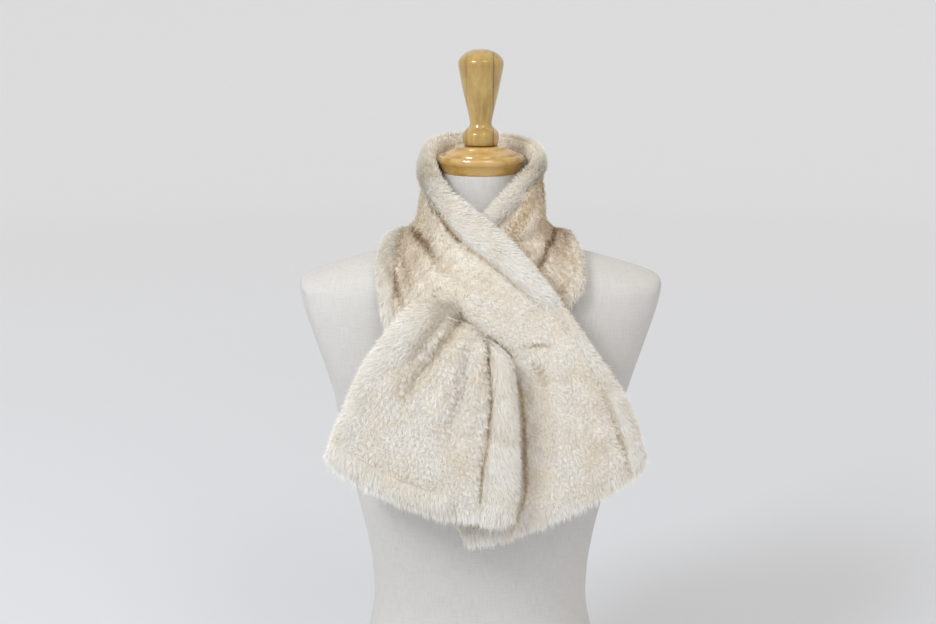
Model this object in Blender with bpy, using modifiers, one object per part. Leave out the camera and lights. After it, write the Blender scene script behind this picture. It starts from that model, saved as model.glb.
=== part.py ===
"""A knitted fur scarf, pulled through its own slit, on the limbless dress form that it rests on.

Built in millimetres round the neck's axis, then moved and scaled to metres. The form stands on Z = 0,
its front faces -Y, and the viewer's right is +X.
"""

import math
from collections import namedtuple

import bmesh
import bpy
import numpy as np

MM = 0.001
GAP = 0.3                 # between pieces that touch
SEAM_GAP = 0.4            # between sewn pieces, measured along the cloth's middle
AXIS_Y = 19.6             # puts the neck's axis where the whole part is centred front to back
MERGE_METRES = 0.00001    # joins the ends of a turned profile where they meet on its axis

# Dress form
RING_POINTS = 36
NECK_TOP = 651.7
CAP_STEPS = 24

# Scarf: half thicknesses of the wall with its pile
KNIT_OUT = 6.5
KNIT_IN = 5.0
SEAM_OUT = 4.2
BORDER_OUT = 9.0
BORDER_IN = 5.5
SEAM_IN = 4.0
LEAST_OUT = 3.0           # what a crease leaves of the outer half
RIM = 0.9                 # half thickness left at a free edge
EDGE_ROUND = 9.0          # width of the rounding at a free edge
EDGE_SHARES = (0.0, 0.12, 0.45, 1.0)    # where the grid's lines lie within that rounding
UPPER_BORDER = 27.0       # widths of the borders sewn along the band's two edges
LOWER_BORDER = 24.0
CORNER_ROWS = 0.45        # how far the corners of a hem are rounded off, in rows
CORNER_RAMP = 1.5         # rows before the hem over which that rounding comes in
CORNER_SHARE = 0.24       # width of that rounding, as a share of half the band's width
CREASE_SWELL = 0.5        # powers below 1: a crease deepens, and the slit opens, soon after its end
SLIT_SWELL = 0.4
NORMAL_STEP = 0.02        # steps for slopes, in rows or in shares of the band's width
PACE_STEP = 0.05

Ring = namedtuple("Ring", "height half_width front back squareness")
Row = namedtuple("Row", "upper middle lower")
Crease = namedtuple("Crease", "u0 v0 u1 v1 depth width")
Piece = namedtuple("Piece", "name band start end across u_cells v_cells free sewn")

FORM_RINGS = [
    Ring(0, 152, 100, 112, 2.3),
    Ring(4, 156, 103, 115, 2.3),
    Ring(50, 150, 101, 113, 2.3),
    Ring(100, 137, 94, 104, 2.25),
    Ring(150, 121, 83, 91, 2.2),
    Ring(189, 115, 78, 83, 2.2),
    Ring(218, 116, 80, 82, 2.2),
    Ring(260, 122, 87, 85, 2.2),
    Ring(300, 131, 94, 88, 2.2),
    Ring(350, 140.5, 100, 92, 2.3),
    Ring(395, 150.5, 102, 94, 2.4),
    Ring(435, 162, 97, 94, 2.6),
    Ring(461, 170.5, 91, 92, 2.8),
    Ring(487, 179, 84, 88, 3.0),
    Ring(513, 186.5, 77, 82, 3.2),
    Ring(529, 189, 72, 77, 3.2),
    Ring(537, 187, 69, 74, 3.0),
    Ring(542, 179, 67, 72, 2.8),
    Ring(549, 159, 65, 69, 2.6),
    Ring(557, 133, 61, 65, 2.4),
    Ring(565, 105, 58, 60, 2.2),
    Ring(574, 79, 54, 56, 2.1),
    Ring(586, 58, 50, 51, 2.0),
    Ring(605, 47, 47, 46, 2.0),
    Ring(630, 43, 43, 42, 2.0),
    Ring(NECK_TOP, 39, 39, 39, 2.0),
]

# The armhole plates face outwards and a little forwards
ARMHOLE_SLOPE = 0.26
ARMHOLE_LOW = 400.0
ARMHOLE_HIGH = 541.0

# Turned profiles, radius and height, down the outer side from the top
CAP_PROFILE = [
    (0, 675.5), (24.5, 675.5), (26.8, 674.2), (27.3, 672.4), (29, 671.4), (37.2, 667.4),
    (38.3, 665.8), (40, 666.2), (42.8, 665.6), (44.2, 663.4), (43.6, 660.4), (39.5, 656),
    (35, 652.6), (33.5, NECK_TOP + GAP), (0, NECK_TOP + GAP),
]
KNOB_PROFILE = [
    (0, 773), (8, 772.4), (14.5, 770), (19.6, 766.2), (22.6, 762), (23.4, 758.4), (22.6, 753),
    (18.2, 730), (14, 713), (11.6, 702), (11.0, 697.5), (12.4, 694), (15.6, 691.4), (18, 689),
    (18.8, 686), (18.4, 681), (17.6, 675.5 + GAP), (0, 675.5 + GAP),
]

# The left half of the band: from the back of the neck, round the left, across the chest to the hem
LEFT_BAND = [
    Row((0, 61, 684), (0, 62, 611), (0, 86, 552)),
    Row((-41, 45, 683), (-44, 45, 608), (-70, 69, 561)),
    Row((-54, 8, 678), (-58, 5, 603), (-97, 10, 580)),
    Row((-52, -26, 666), (-60, -34, 593), (-107, -53, 562)),
    Row((-38, -52, 648), (-58, -69, 578), (-103, -80, 535)),
    Row((-3, -76, 621), (-57, -99, 557), (-96, -96, 511)),
    Row((34, -96, 591), (-38, -112, 531), (-88, -101, 471)),
    Row((70, -107, 547), (-6, -117, 507), (-78, -106, 428)),
    Row((96, -108, 509), (31, -118, 480), (-62, -109, 384)),
    Row((117, -106, 478), (52, -121, 432), (-46, -113, 345)),
    Row((140, -101, 444), (67, -122, 388), (-32, -117, 316)),
    Row((158, -96, 402), (78, -122, 350), (-22, -120, 297)),
    Row((171, -94, 360), (82, -121, 317), (-15, -121, 286)),
]
LEFT_CROSSING = 5.0       # row at which the collar becomes the front panel

# The right half: from the back, round the right, under the panel, through the slit, to the fan's hem
RIGHT_BAND = [
    Row((0, 61, 684), (0, 62, 611), (0, 86, 552)),
    Row((44, 46, 680), (46, 46, 608), (71, 70, 562)),
    Row((59, 11, 677), (59, 5, 603), (97, 10, 581)),
    Row((56, -24, 667), (60, -33, 593), (106, -53, 562)),
    Row((34, -46, 648), (53, -60, 583), (101, -80, 536)),
    Row((2, -59, 610), (26, -77, 561), (76, -88, 503)),
    Row((-26, -70, 564), (6, -92, 535), (48, -94, 489)),
    Row((-38, -109, 536), (-10, -116, 511), (18, -117, 489)),
    Row((-66, -131, 541), (-20, -139, 508), (32, -138, 474)),
    Row((-101, -131, 503), (-33, -142, 466), (36, -143, 438)),
    Row((-121, -129, 471), (-45, -143, 428), (38, -144, 405)),
    Row((-136, -126, 435), (-53, -143, 391), (39, -144, 372)),
    Row((-150, -121, 402), (-58, -141, 357), (37, -144, 342)),
    Row((-157, -117, 376), (-58, -139, 331), (32, -144, 317)),
]
SLIT_ROW = 7.0            # row of the right half that lies in the slit
SLIT_FROM = 5.6           # rows of the left half between which the slit is open
SLIT_TO = 8.0
SLIT_MIDDLE = 0.5         # where it lies across the band, as a share of the width
SLIT_HALF = 15.0          # half of its opening where it is widest, and then at its ends
SLIT_END_HALF = 1.0
SQUEEZE = 0.45            # share of its thickness that the right half loses in the slit
SQUEEZE_ROWS = 0.8        # rows to either side over which that fades
PANEL_HEM_ROW = 11.05     # rows at which the hems are sewn on
FAN_HEM_ROW = 11.95

# Rows count along a band as they do above, and v runs from 0 at the upper edge to 1 at the lower.
# A crease with a negative depth is a soft ridge.
LEFT_CREASES = [
    Crease(2.0, 0.60, 5.0, 0.52, 3.5, 7),
    Crease(3.2, 0.36, 5.5, 0.33, 2.0, 6),
    Crease(8.4, 0.34, 9.2, 0.42, 2.5, 6),
]
RIGHT_CREASES = [
    Crease(2.6, 0.62, 5.4, 0.58, 4.0, 7),
    Crease(2.6, 0.40, 5.2, 0.36, 2.5, 6),
    Crease(7.1, 0.42, 11.0, 0.33, 5.0, 6),
    Crease(7.1, 0.70, 13.0, 0.84, 4.5, 6),
    Crease(8.3, 0.61, 10.6, 0.60, 2.5, 8),
    Crease(7.1, 0.22, 10.4, 0.20, -6.0, 16),
    Crease(7.3, 0.53, 10.0, 0.48, -4.0, 11),
    Crease(7.3, 0.66, 9.5, 0.70, -3.0, 8),
]


def clear_scene():
    for old in list(bpy.data.objects):
        bpy.data.objects.remove(old, do_unlink=True)


def material(name, colour, roughness, metallic=0.0):
    mat = bpy.data.materials.new(name)
    mat.use_nodes = True
    shader = mat.node_tree.nodes["Principled BSDF"]
    shader.inputs["Base Color"].default_value = (*colour, 1.0)
    shader.inputs["Roughness"].default_value = roughness
    shader.inputs["Metallic"].default_value = metallic
    return mat


def add_object(name, mesh, mat, collection):
    mesh.materials.append(mat)
    mesh.shade_smooth()
    obj = bpy.data.objects.new(name, mesh)
    collection.objects.link(obj)
    return obj


def to_metres(point):
    return (point[0] * MM, (point[1] + AXIS_Y) * MM, point[2] * MM)


# Dress form

def form_ring(ring):
    """One section of the torso: half superellipses for its front and back, joined at the sides."""
    points = []
    power = 2.0 / ring.squareness
    for step in range(RING_POINTS):
        angle = 2 * math.pi * step / RING_POINTS
        across = math.copysign(abs(math.cos(angle)) ** power, math.cos(angle))
        along = math.copysign(abs(math.sin(angle)) ** power, math.sin(angle))
        depth = ring.back if along > 0 else ring.front
        side, y = abs(ring.half_width * across), depth * along
        if ARMHOLE_LOW < ring.height < ARMHOLE_HIGH and y < 0:
            side = min(side, ring.half_width + ARMHOLE_SLOPE * y)
        points.append((math.copysign(side, across), y, ring.height))
    return points


def make_torso(mat, collection):
    bm = bmesh.new()
    loops = []
    for ring in FORM_RINGS:
        loops.append([bm.verts.new(to_metres(point)) for point in form_ring(ring)])
    for below, above in zip(loops, loops[1:]):
        for i in range(RING_POINTS):
            j = (i + 1) % RING_POINTS
            bm.faces.new((below[i], below[j], above[j], above[i]))
    bm.faces.new(list(reversed(loops[0])))
    bm.faces.new(loops[-1])
    mesh = bpy.data.meshes.new("form_torso")
    bm.to_mesh(mesh)
    bm.free()
    return add_object("form_torso", mesh, mat, collection)


def make_turned(name, profile, mat, collection):
    mesh = bpy.data.meshes.new(name)
    points = [(radius * MM, 0.0, height * MM) for radius, height in profile]
    edges = [(i, i + 1) for i in range(len(points) - 1)]
    mesh.from_pydata(points, edges, [])
    obj = add_object(name, mesh, mat, collection)
    obj.location = (0.0, AXIS_Y * MM, 0.0)
    screw = obj.modifiers.new("turn", "SCREW")
    screw.angle = 2 * math.pi
    screw.steps = CAP_STEPS
    screw.render_steps = CAP_STEPS
    screw.use_merge_vertices = True
    screw.merge_threshold = MERGE_METRES
    return obj


# Scarf

class Band:
    """Half of the scarf: a smooth sheet through its rows, with creases pressed into its outer side."""

    def __init__(self, rows, row_before, creases, outward, slit):
        self.points = np.array([list(row) for row in rows], dtype=float)
        self.row_before = np.array(list(row_before), dtype=float)
        self.creases = creases
        self.outward = outward
        self.slit = slit
        self.last = len(rows) - 1

    def row(self, u):
        """The upper, middle and lower points at row u, on a smooth curve through the rows."""
        i = min(max(math.floor(u), 0), self.last - 1)
        t = u - i
        p = self.points
        before = p[i - 1] if i > 0 else self.row_before
        after = p[i + 2] if i + 2 <= self.last else 2 * p[-1] - p[-2]
        slope = p[i + 1] - before
        bend = 2 * before - 5 * p[i] + 4 * p[i + 1] - after
        twist = -before + 3 * p[i] - 3 * p[i + 1] + after
        return p[i] + 0.5 * (slope * t + bend * t ** 2 + twist * t ** 3)

    def at(self, u, v):
        """The point of the cloth's middle at row u and share v, with the hem's corners rounded off."""
        corner = max(0.0, (abs(2 * v - 1) - 1 + CORNER_SHARE) / CORNER_SHARE)
        ramp = min(max(1.0 - (self.last - u) / CORNER_RAMP, 0.0), 1.0)
        upper, middle, lower = self.row(u - CORNER_ROWS * corner ** 2 * ramp ** 2)
        return (
            2 * (v - 0.5) * (v - 1) * upper
            - 4 * v * (v - 1) * middle
            + 2 * v * (v - 0.5) * lower
        )

    def normal(self, u, v):
        along = self.at(u + NORMAL_STEP, v) - self.at(u - NORMAL_STEP, v)
        across = self.at(u, v + NORMAL_STEP) - self.at(u, v - NORMAL_STEP)
        cross = np.cross(along, across) * self.outward
        return cross / np.linalg.norm(cross)

    def width(self, u):
        """The band's width in millimetres at row u."""
        upper, middle, lower = self.row(u)
        return float(np.linalg.norm(middle - upper) + np.linalg.norm(lower - middle))

    def share(self, line, u):
        """Where one of the band's lengthwise lines lies across it at row u."""
        places = {
            "upper edge": 0.0,
            "upper seam": UPPER_BORDER / self.width(u),
            "lower seam": 1.0 - LOWER_BORDER / self.width(u),
            "lower edge": 1.0,
        }
        return places[line]

    def pace(self, u, v):
        """Millimetres for each row, along the band at this place."""
        passed = self.at(u + PACE_STEP, v) - self.at(u - PACE_STEP, v)
        return float(np.linalg.norm(passed)) / (2 * PACE_STEP)

    def crease(self, u, v):
        """How deep the creases are here."""
        total = 0.0
        for line in self.creases:
            share = (u - line.u0) / (line.u1 - line.u0)
            if not 0.0 < share < 1.0:
                continue
            middle = line.v0 + (line.v1 - line.v0) * share
            aside = (v - middle) * self.width(u) / line.width
            swell = math.sin(math.pi * share) ** CREASE_SWELL
            total += line.depth * swell * math.exp(-aside * aside)
        return total

    def slit_half(self, u):
        """Half of the slit's opening at row u, in millimetres: its end size where it is shut."""
        share = min(max((u - SLIT_FROM) / (SLIT_TO - SLIT_FROM), 0.0), 1.0)
        swell = math.sin(math.pi * share) ** SLIT_SWELL
        return SLIT_END_HALF + (SLIT_HALF - SLIT_END_HALF) * swell


def roundness(distance):
    """Quarter-circle profile of a free edge: 0 at the edge and 1 past its rounding."""
    share = min(max(distance / EDGE_ROUND, 0.0), 1.0)
    return math.sqrt(1.0 - (1.0 - share) ** 2)


def dip(distance):
    """0 at a sewn seam and 1 past the groove beside it."""
    return math.sin(0.5 * math.pi * min(max(distance / EDGE_ROUND, 0.0), 1.0))


def spread(start, end, cells, free_start, free_end, length):
    """Grid places from start to end, with closer ones in the rounding of a free edge."""
    near = [share * EDGE_ROUND / length * (end - start) for share in EDGE_SHARES]
    first = [start + step for step in near] if free_start else [start]
    last = [end - step for step in reversed(near)] if free_end else [end]
    gap = last[0] - first[-1]
    inner = [first[-1] + gap * i / cells for i in range(1, cells)]
    return first + inner + last


def grid_across(piece, band, u):
    """The places across the band at row u, and the index of the cell that the slit opens."""
    width = band.width(u)
    seam = 0.5 * SEAM_GAP / width
    upper, lower = band.share(piece.across[0], u), band.share(piece.across[1], u)
    start = upper if "upper" in piece.free else upper + seam
    end = lower if "lower" in piece.free else lower - seam
    if not band.slit or not piece.name.endswith("knit"):
        length = (end - start) * width
        ends = ("upper" in piece.free, "lower" in piece.free)
        return spread(start, end, piece.v_cells, *ends, length), None
    lip = band.slit_half(u) / width
    cells = piece.v_cells // 2
    above = spread(start, SLIT_MIDDLE - lip, cells, False, True, (SLIT_MIDDLE - lip - start) * width)
    below = spread(SLIT_MIDDLE + lip, end, cells, True, False, (end - SLIT_MIDDLE - lip) * width)
    return above + below, len(above) - 1


def half_thickness(band, piece, u, v, opened):
    """Outer and inner half thickness of a piece at one place of its band."""
    width, pace = band.width(u), band.pace(u, v)
    sides = {
        "upper": (v - band.share(piece.across[0], u)) * width,
        "lower": (band.share(piece.across[1], u) - v) * width,
        "start": (u - piece.start) * pace,
        "end": (piece.end - u) * pace,
    }
    seam = min([1.0] + [dip(sides[side]) for side in piece.sewn.split()])
    edge = min([1.0] + [roundness(sides[side]) for side in piece.free.split()])
    full_out, full_in = BORDER_OUT, BORDER_IN
    if piece.name.endswith("knit"):
        full_out, full_in = KNIT_OUT, KNIT_IN
    outer = SEAM_OUT + (full_out - SEAM_OUT) * seam
    inner = SEAM_IN + (full_in - SEAM_IN) * seam
    if piece.band == "right":
        squeezed = 1.0 - SQUEEZE * math.exp(-(((u - SLIT_ROW) / SQUEEZE_ROWS) ** 2))
        outer, inner = outer * squeezed, inner * squeezed
    outer = max(LEAST_OUT, outer - band.crease(u, v))
    if opened is not None and SLIT_FROM <= u <= SLIT_TO:
        half = band.slit_half(u)
        open_share = (half - SLIT_END_HALF) / (SLIT_HALF - SLIT_END_HALF)
        lip = roundness(abs(v - SLIT_MIDDLE) * width - half)
        edge = min(edge, 1.0 - (1.0 - lip) * open_share)
    return RIM + (outer - RIM) * edge, RIM + (inner - RIM) * edge


def make_wall(piece, band, mat, collection):
    """A closed wall on a part of a band: an outer and an inner grid, joined round every edge."""
    middle_row = 0.5 * (piece.start + piece.end)
    length = band.pace(middle_row, 0.5) * (piece.end - piece.start)
    free_ends = ("start" in piece.free, "end" in piece.free)
    us = spread(piece.start, piece.end, piece.u_cells, *free_ends, length)
    bm = bmesh.new()
    outer, inner = [], []
    for i, row in enumerate(us):
        vs, opened = grid_across(piece, band, row)
        outer_line, inner_line = [], []
        for v in vs:
            u = row
            if i == 0 and "start" not in piece.free:
                u += 0.5 * SEAM_GAP / band.pace(u, v)
            if i == len(us) - 1 and "end" not in piece.free:
                u -= 0.5 * SEAM_GAP / band.pace(u, v)
            centre, normal = band.at(u, v), band.normal(u, v)
            out, into = half_thickness(band, piece, u, v, opened)
            outer_line.append(bm.verts.new(to_metres(centre + normal * out)))
            inner_line.append(bm.verts.new(to_metres(centre - normal * into)))
        outer.append(outer_line)
        inner.append(inner_line)
    kept = set()
    for i in range(len(us) - 1):
        for j in range(len(outer[0]) - 1):
            in_slit = j == opened and us[i] >= SLIT_FROM and us[i + 1] <= SLIT_TO
            if not in_slit:
                kept.add((i, j))
    for i, j in sorted(kept):
        corners = ((i, j), (i + 1, j), (i + 1, j + 1), (i, j + 1))
        for a, b, c in ((0, 1, 2), (0, 2, 3)):
            bm.faces.new([outer[corners[k][0]][corners[k][1]] for k in (a, b, c)])
            bm.faces.new([inner[corners[k][0]][corners[k][1]] for k in (c, b, a)])
        beside = ((i, j - 1), (i + 1, j), (i, j + 1), (i - 1, j))
        for k, neighbour in enumerate(beside):
            if neighbour in kept:
                continue
            low, high = sorted((corners[k], corners[(k + 1) % 4]))
            top_low, top_high = outer[low[0]][low[1]], outer[high[0]][high[1]]
            under_low, under_high = inner[low[0]][low[1]], inner[high[0]][high[1]]
            bm.faces.new((top_low, top_high, under_high))
            bm.faces.new((top_low, under_high, under_low))
    bmesh.ops.recalc_face_normals(bm, faces=bm.faces)
    mesh = bpy.data.meshes.new(piece.name)
    bm.to_mesh(mesh)
    bm.free()
    return add_object(piece.name, mesh, mat, collection)


LEFT_END = float(len(LEFT_BAND) - 1)
RIGHT_END = float(len(RIGHT_BAND) - 1)
KNIT = ("upper seam", "lower seam")
UPPER = ("upper edge", "upper seam")
LOWER = ("lower seam", "lower edge")
WHOLE = ("upper edge", "lower edge")
COLLAR = (0.0, LEFT_CROSSING)
PANEL = (LEFT_CROSSING, PANEL_HEM_ROW)
TO_SLIT = (0.0, SLIT_ROW)
FAN = (SLIT_ROW, FAN_HEM_ROW)

# Cells along and across, then the free edges, then the edges with a sewn groove beside them
PIECES = [
    Piece("left_collar_knit", "left", *COLLAR, KNIT, 15, 8, "", "upper lower"),
    Piece("left_collar_upper_border", "left", *COLLAR, UPPER, 15, 2, "upper", "lower"),
    Piece("left_collar_lower_border", "left", *COLLAR, LOWER, 15, 2, "lower", "upper"),
    Piece("front_panel_knit", "left", *PANEL, KNIT, 20, 8, "", "upper lower end"),
    Piece("front_panel_upper_border", "left", *PANEL, UPPER, 20, 2, "upper", "lower end"),
    Piece("front_panel_lower_border", "left", *PANEL, LOWER, 20, 2, "lower", "upper end"),
    Piece("front_panel_hem", "left", PANEL_HEM_ROW, LEFT_END, WHOLE, 2, 14, "upper lower end", "start"),
    Piece("right_collar_knit", "right", *TO_SLIT, KNIT, 20, 8, "", "upper lower"),
    Piece("right_collar_upper_border", "right", *TO_SLIT, UPPER, 20, 2, "upper", "lower"),
    Piece("right_collar_lower_border", "right", *TO_SLIT, LOWER, 20, 2, "lower", "upper"),
    Piece("pulled_fan_knit", "right", *FAN, KNIT, 18, 16, "", "upper lower end"),
    Piece("pulled_fan_left_border", "right", *FAN, UPPER, 18, 2, "upper", "lower end"),
    Piece("pulled_fan_right_border", "right", *FAN, LOWER, 18, 2, "lower", "upper end"),
    Piece("pulled_fan_hem", "right", FAN_HEM_ROW, RIGHT_END, WHOLE, 2, 18, "upper lower end", "start"),
]


def make_scarf(knit, mink, collection):
    bands = {
        "left": Band(LEFT_BAND, RIGHT_BAND[1], LEFT_CREASES, -1, True),
        "right": Band(RIGHT_BAND, LEFT_BAND[1], RIGHT_CREASES, 1, False),
    }
    for piece in PIECES:
        mat = knit if piece.name.endswith("knit") else mink
        make_wall(piece, bands[piece.band], mat, collection)


def main():
    clear_scene()
    collection = bpy.data.collections.new("fur_scarf_on_dress_form")
    bpy.context.scene.collection.children.link(collection)
    linen = material("linen", (0.60, 0.58, 0.56), 0.9)
    wood = material("varnished_wood", (0.55, 0.34, 0.12), 0.25)
    knit = material("knitted_mink", (0.74, 0.68, 0.60), 0.85)
    mink = material("mink_border", (0.82, 0.78, 0.72), 0.8)
    make_torso(linen, collection)
    make_turned("neck_cap", CAP_PROFILE, wood, collection)
    make_turned("neck_knob", KNOB_PROFILE, wood, collection)
    make_scarf(knit, mink, collection)


main()
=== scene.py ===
"""Looks of the fur scarf and its dress form: linen, varnished wood, knitted mink and its sleek borders.

The scarf is worked out in millimetres round the neck's axis, like the CAD, and moved into the frame
at the end. Each stretch of it is a thin cloth with the dense underfur, and its longer hair is mesh.
"""

import math
from collections import namedtuple

import bpy
import numpy as np
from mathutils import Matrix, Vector


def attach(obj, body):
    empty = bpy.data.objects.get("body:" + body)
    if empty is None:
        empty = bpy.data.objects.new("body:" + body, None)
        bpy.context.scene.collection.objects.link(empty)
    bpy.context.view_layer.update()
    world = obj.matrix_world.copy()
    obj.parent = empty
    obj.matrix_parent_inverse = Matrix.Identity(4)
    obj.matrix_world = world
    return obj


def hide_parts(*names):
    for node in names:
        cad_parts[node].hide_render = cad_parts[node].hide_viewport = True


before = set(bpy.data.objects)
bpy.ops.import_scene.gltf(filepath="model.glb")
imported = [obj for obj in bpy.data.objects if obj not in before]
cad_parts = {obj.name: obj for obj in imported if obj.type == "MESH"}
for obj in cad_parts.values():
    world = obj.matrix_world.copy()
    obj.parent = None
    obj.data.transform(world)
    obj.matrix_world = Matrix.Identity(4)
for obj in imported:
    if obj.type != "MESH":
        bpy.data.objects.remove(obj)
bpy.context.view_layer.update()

MM = 0.001
AXIS_Y = 19.6        # the neck's axis, as in the CAD

# Camera and floor, in metres, and the lens and its sensor in millimetres
LENS = 60.0
SENSOR = 36.0
CAMERA_DOWN = 13.0   # degrees
CAMERA_AWAY = 1.638
CAMERA_TARGET = (-0.0131, AXIS_Y * MM, 0.5)
FLOOR_RADIUS = 6.0
FLOOR_FLAT = 0.6     # share of the radius that is flat, before the curved rim
FLOOR_RISE = 2.5     # height of the rim
FLOOR_STEPS = 24
FLOOR_TURNS = 96
CHEST = (0.0, 0.0, 0.48)  # where the lamps point
WHITE = (1.0, 1.0, 1.0)

# Scarf: half thicknesses of the cloth without its loose hair, which is 3 to 4 mm more
CLOTH_OUT = 2.5
CLOTH_IN = 2.0
LEAST_CLOTH = 0.8
ROLL_INSIDE = 0.7    # share of a border's roll that also stands out on the inner side
PLUMP = 2.6          # how full a border's roll is across its width
SEAM_DEPTH = 2.2     # of the groove where a border is sewn on
SEAM_WIDTH = 3.5
SEAM_LOST = 0.8      # share of that groove's depth that is lost under a roll of full height
FULL_ROLL = 4.0
TRIM_SOFT = 0.8      # rows over which a border starts or ends
HEM_SOFT = 0.08      # share of the width over which a hem's strip starts or ends
EDGE_ROUND = 9.0     # the cloth thins out over this distance from its edges
EDGE_INSET = 4.0     # the cloth ends this far inside the edges and hems, and its hair goes on
HEM_INSET = 6.0
LAST_PACE = 0.3      # rows from the end at which a row's length is taken for that
CORNER_ROWS = 0.45   # how far a hem's corners are rounded off, in rows
CORNER_RAMP = 1.5    # rows from the end over which that sets in
CORNER_SHARE = 0.24  # of half the width
CREASE_SWELL = 0.5   # powers below 1: a crease deepens, and the slit opens, soon after its end
SLIT_SWELL = 0.4
FINE_STEPS = 40      # places in each row at which the width and the length are worked out
NORMAL_STEP = 0.02   # rows, or shares of the width, over which a slope is taken
CELL = 3.1           # size of the cloth's cells
EDGE_LINES = (0.0, 0.7, 2.0, 4.5)  # the cloth's lines beside a free edge

Crease = namedtuple("Crease", "course depth width dark skew", defaults=(0.0, 1.0))
Trim = namedtuple("Trim", "side start end width fade sleek roll")
Ring = namedtuple("Ring", "height half_width front back squareness")
Stretch = namedtuple("Stretch", "name band start end inner_hair knit_hair border_hair nodes")
Patch = namedtuple("Patch", "row_from row_to x_to z_from z_to share")
Streak = namedtuple("Streak", "x wander width depth")

# Rows of the band, each with a point on its upper edge, its middle and its lower edge
LEFT_BAND = [
    ((0, 61, 684), (0, 62, 611), (0, 86, 552)),
    ((-41, 45, 683), (-44, 45, 608), (-70, 69, 561)),
    ((-54, 8, 678), (-58, 5, 603), (-97, 10, 580)),
    ((-52, -26, 666), (-60, -34, 593), (-107, -53, 562)),
    ((-38, -52, 648), (-58, -69, 578), (-103, -80, 535)),
    ((-3, -76, 621), (-57, -99, 557), (-96, -96, 511)),
    ((34, -96, 591), (-38, -112, 531), (-88, -101, 471)),
    ((70, -107, 547), (-6, -117, 507), (-78, -106, 428)),
    ((96, -108, 509), (31, -118, 480), (-62, -109, 384)),
    ((117, -106, 478), (52, -121, 432), (-46, -113, 345)),
    ((140, -101, 444), (67, -122, 388), (-32, -117, 316)),
    ((158, -96, 402), (78, -122, 350), (-22, -120, 297)),
    ((171, -94, 360), (82, -121, 317), (-15, -121, 286)),
]
RIGHT_BAND = [
    ((0, 61, 684), (0, 62, 611), (0, 86, 552)),
    ((44, 46, 680), (46, 46, 608), (71, 70, 562)),
    ((59, 11, 677), (59, 5, 603), (97, 10, 581)),
    ((56, -24, 667), (60, -33, 593), (106, -53, 562)),
    ((34, -46, 648), (53, -60, 583), (101, -80, 536)),
    ((2, -59, 610), (26, -77, 561), (76, -88, 503)),
    ((-26, -70, 564), (6, -92, 535), (48, -94, 489)),
    ((-38, -109, 536), (-10, -116, 511), (18, -117, 489)),
    ((-66, -131, 541), (-20, -139, 508), (32, -138, 474)),
    ((-101, -131, 503), (-33, -142, 466), (36, -143, 438)),
    ((-121, -129, 471), (-45, -143, 428), (38, -144, 405)),
    ((-136, -126, 435), (-53, -143, 391), (39, -144, 372)),
    ((-150, -121, 402), (-58, -141, 357), (37, -144, 342)),
    ((-157, -117, 376), (-58, -139, 331), (32, -144, 317)),
]
LEFT_CROSSING = 5.0  # row at which the left collar becomes the front panel
SLIT_ROW = 7.0       # row of the right half that lies in the slit
SLIT_FROM = 5.6      # rows of the left half between which the slit is open
SLIT_TO = 8.0
SLIT_MIDDLE = 0.5    # its place, as a share of the width
UPPER_LIP = 4.0      # how far the lips are from it, where they close on the pulled end
LOWER_LIP = 9.0
SLIT_END_HALF = 0.5
LIP_PAINTED_SHADE = 0.7       # painted shade along a lip of the slit: how dark, and how far in from it
LIP_REACH = 1.6
SQUEEZE = 0.30       # share of its thickness that the pulled end loses in the slit
SQUEEZE_ROWS = 0.8   # rows to either side over which that fades

# Folds: each has a course of (row, share of the width), the depth of its trough, or ridge where
# negative, its half width in millimetres, how much painted shade darkens the hair and cloth in it,
# and a skew, which under 1 puts its deepest place near the start.
LEFT_CREASES = [
    Crease(((2.2, 0.65), (3.4, 0.50), (4.7, 0.37), (5.6, 0.34)), 4.0, 6, 0.55, 0.7),
    Crease(((2.0, 0.80), (3.6, 0.74), (5.0, 0.60)), 2.0, 7, 0.15),
    Crease(((3.0, 0.91), (4.0, 0.82), (5.5, 0.70)), 2.5, 4, 0.45, 0.8),
    Crease(((2.6, 0.205), (4.0, 0.200), (5.2, 0.185)), 2.2, 2.6, 0.85, 0.8),
    Crease(((4.6, 0.190), (5.4, 0.180), (6.6, 0.150), (7.4, 0.137)), 1.4, 2.4, 0.30),
    Crease(((9.3, 0.13), (10.6, 0.13), (11.8, 0.12)), 1.6, 3, 0.50, 1.2),
    Crease(((7.85, 0.44), (8.25, 0.26)), 3.4, 6, 0.65),
    Crease(((8.25, 0.42), (8.85, 0.40)), 3.0, 7, 0.45),
    Crease(((8.8, 0.30), (10.4, 0.24)), 1.6, 9, 0.05),
    Crease(((1.8, 0.34), (2.7, 0.32), (3.8, 0.34)), -5.0, 24),
    Crease(((9.4, 0.46), (10.9, 0.40)), -1.6, 12),
    # not a fold: the painted shadow that the pulled end casts on the panel beside its right edge
    Crease(((7.8, 0.50), (8.7, 0.54), (9.6, 0.61), (10.7, 0.67), (11.8, 0.80)), 0.0, 3.8, 0.80),
]
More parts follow.
